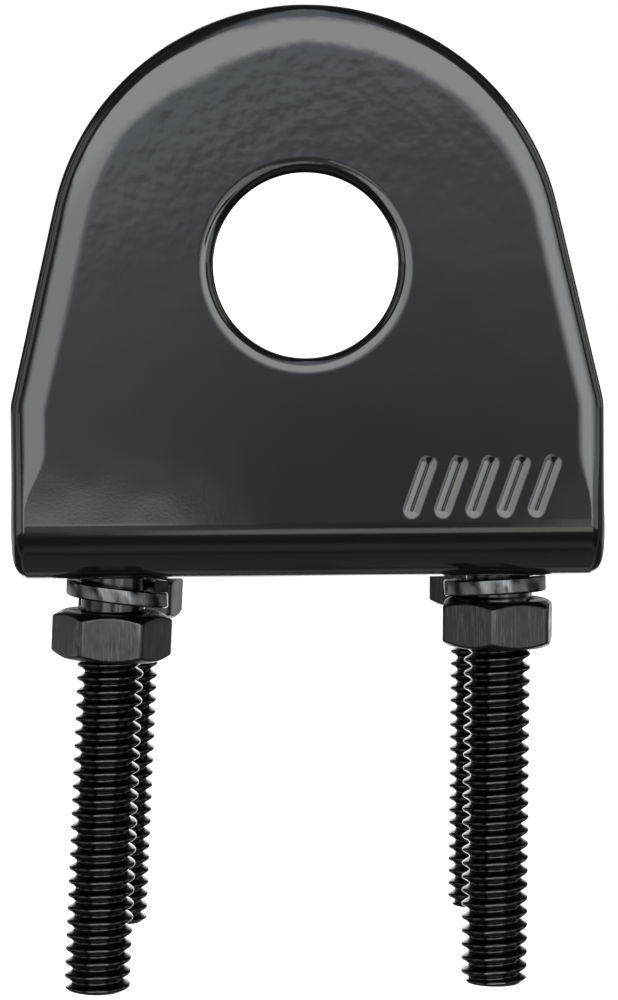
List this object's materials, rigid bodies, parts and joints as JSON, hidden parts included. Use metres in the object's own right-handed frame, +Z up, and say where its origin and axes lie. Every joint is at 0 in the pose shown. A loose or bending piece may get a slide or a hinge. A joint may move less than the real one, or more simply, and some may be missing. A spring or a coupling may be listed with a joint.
{
  "type": "u-bolt antenna mounting bracket",
  "caption": "Bent steel bracket with a round-topped tab and one large hole, held to a rail by U-bolts with spring washers and hex nuts.",
  "frame": {"origin": "middle of the U-bolt pattern on the base plate's top face, where the rail sits", "axes": "+Z up, away from the rail seat; -Y out of the tab's front face; +X along the rail, to the right as seen from the front"},
  "size_m": [0.0534, 0.057, 0.0915],
  "materials": {
    "coated_steel": "gloss black powder coat with a light orange peel",
    "black_oxide": "satin black plated steel"
  },
  "bodies": {
    "bracket": {"bracket": "coated_steel"},
    "left_u_bolt": {"left_u_bolt": "black_oxide"},
    "front_left_washer": {"front_left_washer": "black_oxide"},
    "front_left_nut": {"front_left_nut": "black_oxide"},
    "rear_left_washer": {"rear_left_washer": "black_oxide"},
    "rear_left_nut": {"rear_left_nut": "black_oxide"},
    "right_u_bolt": {"right_u_bolt": "black_oxide"},
    "front_right_washer": {"front_right_washer": "black_oxide"},
    "front_right_nut": {"front_right_nut": "black_oxide"},
    "rear_right_washer": {"rear_right_washer": "black_oxide"},
    "rear_right_nut": {"rear_right_nut": "black_oxide"}
  },
  "joints": [
    {"name": "left_u_bolt_slide", "type": "slide", "parent": "bracket", "child": "left_u_bolt", "axis": [0.0541, 0, 0.9985], "range_m": [-0.015, 0.0002]},
    {"name": "front_left_washer_slide", "type": "slide", "parent": "left_u_bolt", "child": "front_left_washer", "axis": [0.0541, 0, 0.9985], "range_m": [-0.03, 0]},
    {"name": "front_left_nut_spin", "type": "hinge", "parent": "front_left_washer", "child": "front_left_nut", "pos_m": [-0.01828, -0.019, -0.00969], "axis": [0.0541, 0, 0.9985], "range_deg": [-8520, 0]},
    {"name": "rear_left_washer_slide", "type": "slide", "parent": "left_u_bolt", "child": "rear_left_washer", "axis": [0.0541, 0, 0.9985], "range_m": [-0.03, 0]},
    {"name": "rear_left_nut_spin", "type": "hinge", "parent": "rear_left_washer", "child": "rear_left_nut", "pos_m": [-0.01835, 0.019, -0.00969], "axis": [0.0541, 0, 0.9985], "range_deg": [-8520, 0]},
    {"name": "right_u_bolt_slide", "type": "slide", "parent": "bracket", "child": "right_u_bolt", "axis": [0.0157, 0, 0.9999], "range_m": [-0.015, 0.0002]},
    {"name": "front_right_washer_slide", "type": "slide", "parent": "right_u_bolt", "child": "front_right_washer", "axis": [0.0157, 0, 0.9999], "range_m": [-0.03, 0]},
    {"name": "front_right_nut_spin", "type": "hinge", "parent": "front_right_washer", "child": "front_right_nut", "pos_m": [0.01751, -0.019, -0.0088], "axis": [0.0157, 0, 0.9999], "range_deg": [-8520, 0]},
    {"name": "rear_right_washer_slide", "type": "slide", "parent": "right_u_bolt", "child": "rear_right_washer", "axis": [0.0157, 0, 0.9999], "range_m": [-0.03, 0]},
    {"name": "rear_right_nut_spin", "type": "hinge", "parent": "rear_right_washer", "child": "rear_right_nut", "pos_m": [0.01778, 0.019, -0.0088], "axis": [0.0157, 0, 0.9999], "range_deg": [-8520, 0]}
  ],
  "couplings": [
    {"joint": "front_left_nut_spin", "follows": "front_left_washer_slide", "rad_per_m": 4947.4},
    {"joint": "rear_left_nut_spin", "follows": "rear_left_washer_slide", "rad_per_m": 4947.4},
    {"joint": "front_right_nut_spin", "follows": "front_right_washer_slide", "rad_per_m": 4947.4},
    {"joint": "rear_right_nut_spin", "follows": "rear_right_washer_slide", "rad_per_m": 4947.4}
  ]
}
